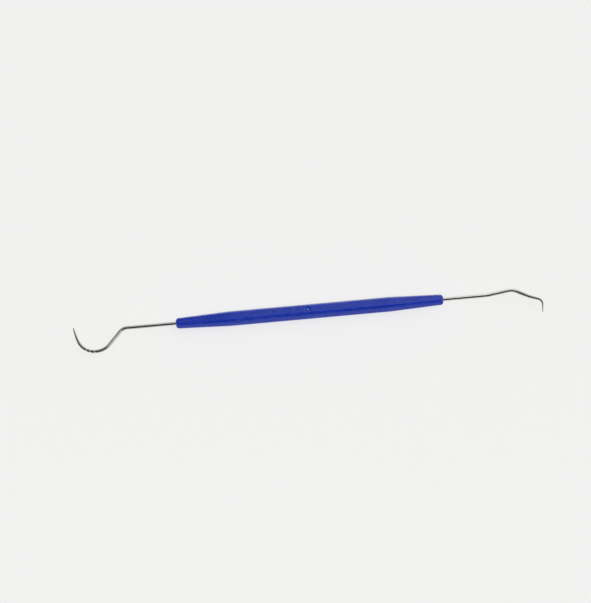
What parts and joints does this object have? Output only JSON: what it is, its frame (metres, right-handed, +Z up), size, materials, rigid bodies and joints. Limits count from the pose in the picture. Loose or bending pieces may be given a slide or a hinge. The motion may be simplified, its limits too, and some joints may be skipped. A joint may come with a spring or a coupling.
{
  "type": "dental explorer",
  "caption": "Double-ended dental explorer: a tapered hexagonal moulded plastic handle with a sickle hook of steel wire at one end and a right-angle wire tip at the other.",
  "frame": {"origin": "centre of the handle's bottom facet, halfway along the handle, on the surface the explorer lies on", "axes": "+X along the handle from the hook end to the right-angle end, +Z up and square to the bottom facet; both bent wires lie in a level plane parallel to XY, through the handle's axis"},
  "size_m": [0.17, 0.0114, 0.005],
  "materials": {
    "handle_plastic": "semi-gloss blue moulded plastic",
    "steel": "drawn and polished stainless wire"
  },
  "bodies": {
    "root": {"handle": "handle_plastic", "hook_tip": "steel", "right_angle_tip": "steel"}
  },
  "joints": []
}
